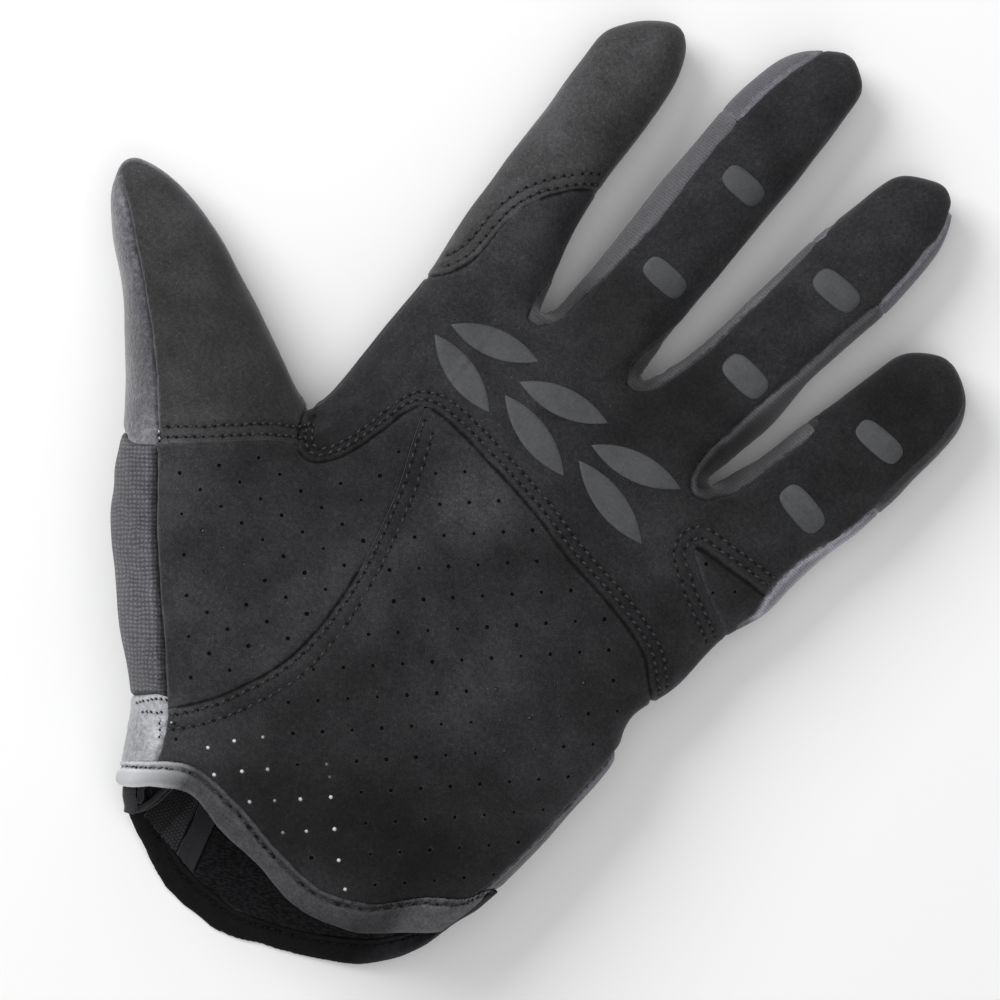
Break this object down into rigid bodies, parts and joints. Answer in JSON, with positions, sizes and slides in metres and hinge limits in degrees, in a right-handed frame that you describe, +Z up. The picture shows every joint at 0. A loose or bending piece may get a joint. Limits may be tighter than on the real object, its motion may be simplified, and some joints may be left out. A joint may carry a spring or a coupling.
{
  "type": "fishing glove",
  "caption": "Full-finger suede-palmed glove for the left hand with a perforated heel, raised grip pads, knitted side strips and a bound wrist opening.",
  "frame": {"origin": "middle of the bounding box in plan, on the surface the glove lies on", "axes": "+Y along the fingers away from the wrist, +X towards the little finger, +Z up out of the palm"},
  "size_m": [0.188, 0.2454, 0.0399],
  "materials": {
    "suede": "black synthetic suede, napped, with small air holes on the heel",
    "suede_light": "dark grey synthetic suede, napped",
    "fleece": "mottled grey brushed fleece",
    "rib_knit": "grey ribbed knit",
    "pale_cloth": "pale grey cloth",
    "back_cloth": "black stretch cloth",
    "binding": "grey stretch binding, stitched",
    "binding_dark": "black stretch binding, stitched",
    "lining": "black lining cloth",
    "tape": "black seam tape",
    "silicone": "grey silicone print"
  },
  "bodies": {
    "root": {"palm_upper_panel": "suede", "palm_heel_panel": "suede", "thenar_panel": "suede", "heel_gusset": "suede", "index_tip_panel": "suede_light", "thumb_front_panel": "suede_light", "thumb_back_panel": "fleece", "thumb_side_knit": "rib_knit", "cuff_side_tab": "pale_cloth", "hand_back_panel": "back_cloth", "index_back_tip": "back_cloth", "middle_back_tip": "back_cloth", "ring_back_tip": "back_cloth", "little_back_tip": "back_cloth", "fourchette_index_middle": "rib_knit", "fourchette_middle_ring": "rib_knit", "fourchette_ring_little": "rib_knit", "palm_cuff_binding": "binding", "back_cuff_binding": "binding_dark", "lining_mesh": "lining", "seam_tape": "tape", "back_lining": "lining", "cuff_fold": "tape", "leaf_pad_1": "silicone", "leaf_pad_2": "silicone", "leaf_pad_3": "silicone", "leaf_pad_4": "silicone", "leaf_pad_5": "silicone", "leaf_pad_6": "silicone", "finger_pad_1": "silicone", "finger_pad_2": "silicone", "finger_pad_3": "silicone", "finger_pad_4": "silicone", "finger_pad_5": "silicone", "finger_pad_6": "silicone"}
  },
  "joints": []
}
